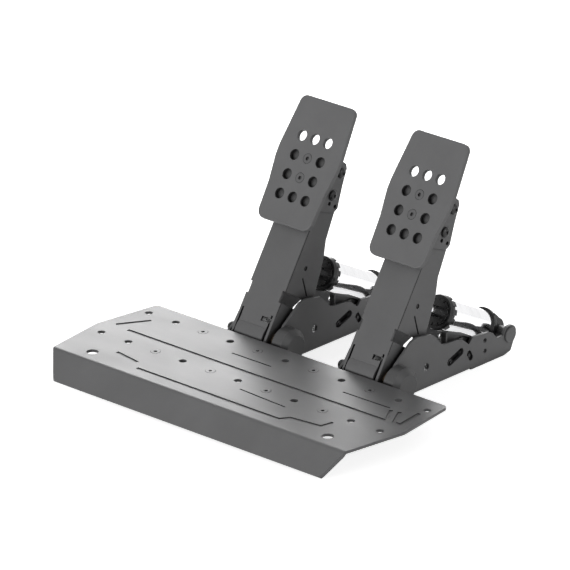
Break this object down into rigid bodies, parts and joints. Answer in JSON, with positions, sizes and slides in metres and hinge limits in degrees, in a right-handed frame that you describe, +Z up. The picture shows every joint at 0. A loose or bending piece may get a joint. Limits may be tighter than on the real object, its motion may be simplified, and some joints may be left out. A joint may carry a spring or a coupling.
{
  "type": "sim racing pedal set",
  "caption": "Sprung brake and throttle pedals with folded steel arms, drilled pads and polished dampers, on channel bases under a bent heel plate.",
  "frame": {"origin": "on the floor under the middle of the set", "axes": "+X to the throttle side, +Y away from the driver, +Z up"},
  "size_m": [0.3588, 0.3305, 0.2125],
  "materials": {
    "powder_coat": "satin dark grey powder coat with a fine grain",
    "pad_coat": "satin dark grey powder coat",
    "hub_coat": "satin dark grey coat",
    "black_screw": "black oxide steel",
    "coated_screw": "steel coated like the plate",
    "zinc_nut": "bright zinc",
    "plain_steel": "ground steel",
    "polished_steel": "polished hard chrome",
    "polished_tube": "polished tube",
    "black_aluminium": "black anodised",
    "black_plastic": "fine moulded black",
    "circuit_board": "matt black lacquer",
    "bush_bronze": "sintered bronze",
    "spring_steel": "oiled spring steel"
  },
  "bodies": {
    "base": {"heel_plate": "powder_coat", "heel_plate_screws": "coated_screw", "heel_plate_nuts": "zinc_nut", "brake_base_channel": "powder_coat", "brake_sensor_housing": "black_plastic", "brake_sensor_board": "circuit_board", "brake_housing_screws": "black_screw", "brake_pivot_hub": "hub_coat", "brake_pivot_axle": "plain_steel", "brake_pivot_cap": "black_screw", "brake_rear_pin": "coated_screw", "brake_rear_nut": "black_screw", "brake_rear_spacers": "black_plastic", "throttle_base_channel": "powder_coat", "throttle_sensor_housing": "black_plastic", "throttle_sensor_board": "circuit_board", "throttle_housing_screws": "black_screw", "throttle_pivot_hub": "hub_coat", "throttle_pivot_axle": "plain_steel", "throttle_pivot_cap": "black_screw", "throttle_rear_pin": "coated_screw", "throttle_rear_nut": "black_screw", "throttle_rear_spacers": "black_plastic"},
    "brake_lever": {"brake_arm": "powder_coat", "brake_arm_pivot_tube": "powder_coat", "brake_pivot_bushes": "bush_bronze", "brake_pad_bracket": "powder_coat", "brake_bracket_screws": "black_screw", "brake_bracket_nuts": "zinc_nut", "brake_pad_plate": "pad_coat", "brake_pad_screws": "coated_screw", "brake_pad_nuts": "zinc_nut", "brake_front_pin": "black_screw", "brake_rod_spacers": "black_plastic"},
    "brake_damper": {"brake_damper_tube": "polished_tube", "brake_threaded_sleeve": "black_aluminium", "brake_damper_end_cap": "black_aluminium", "brake_damper_spring": "spring_steel"},
    "brake_rod": {"brake_damper_rod": "polished_steel", "brake_damper_piston": "black_aluminium"},
    "brake_ring": {"brake_preload_ring": "black_aluminium"},
    "throttle_lever": {"throttle_arm": "powder_coat", "throttle_arm_pivot_tube": "powder_coat", "throttle_pivot_bushes": "bush_bronze", "throttle_pad_bracket": "powder_coat", "throttle_bracket_screws": "black_screw", "throttle_bracket_nuts": "zinc_nut", "throttle_pad_plate": "pad_coat", "throttle_pad_screws": "coated_screw", "throttle_pad_nuts": "zinc_nut", "throttle_front_pin": "black_screw", "throttle_rod_spacers": "black_plastic"},
    "throttle_damper": {"throttle_damper_tube": "polished_tube", "throttle_threaded_sleeve": "black_aluminium", "throttle_damper_end_cap": "black_aluminium", "throttle_damper_spring": "spring_steel"},
    "throttle_rod": {"throttle_damper_rod": "polished_steel", "throttle_damper_piston": "black_aluminium"},
    "throttle_ring": {"throttle_preload_ring": "black_aluminium"}
  },
  "joints": [
    {"name": "brake_press", "type": "hinge", "parent": "base", "child": "brake_lever", "pos_m": [-0.065, 0.00245, 0.0187], "axis": [-1, 0, 0], "range_deg": [0, 10], "stiffness_Nm_per_rad": 150, "springref_deg": -2.86},
    {"name": "brake_damper_swing", "type": "hinge", "parent": "base", "child": "brake_damper", "pos_m": [-0.065, 0.15425, 0.0175], "axis": [1, 0, 0], "range_deg": [0, 1]},
    {"name": "brake_rod_slide", "type": "slide", "parent": "brake_damper", "child": "brake_rod", "axis": [0, 0.889, -0.458], "range_m": [0, 0.0125], "deforming": ["brake_damper_spring"]},
    {"name": "brake_preload_turn", "type": "hinge", "parent": "brake_damper", "child": "brake_ring", "pos_m": [-0.065, 0.08484, 0.05325], "axis": [0, 0.889, -0.458], "range_deg": [-180, 180]},
    {"name": "throttle_press", "type": "hinge", "parent": "base", "child": "throttle_lever", "pos_m": [0.065, 0.00245, 0.0187], "axis": [-1, 0, 0], "range_deg": [0, 15], "stiffness_Nm_per_rad": 20, "springref_deg": -8.59},
    {"name": "throttle_damper_swing", "type": "hinge", "parent": "base", "child": "throttle_damper", "pos_m": [0.065, 0.15425, 0.0175], "axis": [1, 0, 0], "range_deg": [0, 1.8]},
    {"name": "throttle_rod_slide", "type": "slide", "parent": "throttle_damper", "child": "throttle_rod", "axis": [0, 0.889, -0.458], "range_m": [0, 0.0185], "deforming": ["throttle_damper_spring"]},
    {"name": "throttle_preload_turn", "type": "hinge", "parent": "throttle_damper", "child": "throttle_ring", "pos_m": [0.065, 0.09133, 0.04991], "axis": [0, 0.889, -0.458], "range_deg": [-180, 180]}
  ],
  "couplings": [
    {"joint": "brake_damper_swing", "follows": "brake_press", "ratio": 0.08713},
    {"joint": "brake_rod_slide", "follows": "brake_press", "m_per_rad": 0.067589},
    {"joint": "throttle_damper_swing", "follows": "throttle_press", "ratio": 0.11219},
    {"joint": "throttle_rod_slide", "follows": "throttle_press", "m_per_rad": 0.067238}
  ]
}
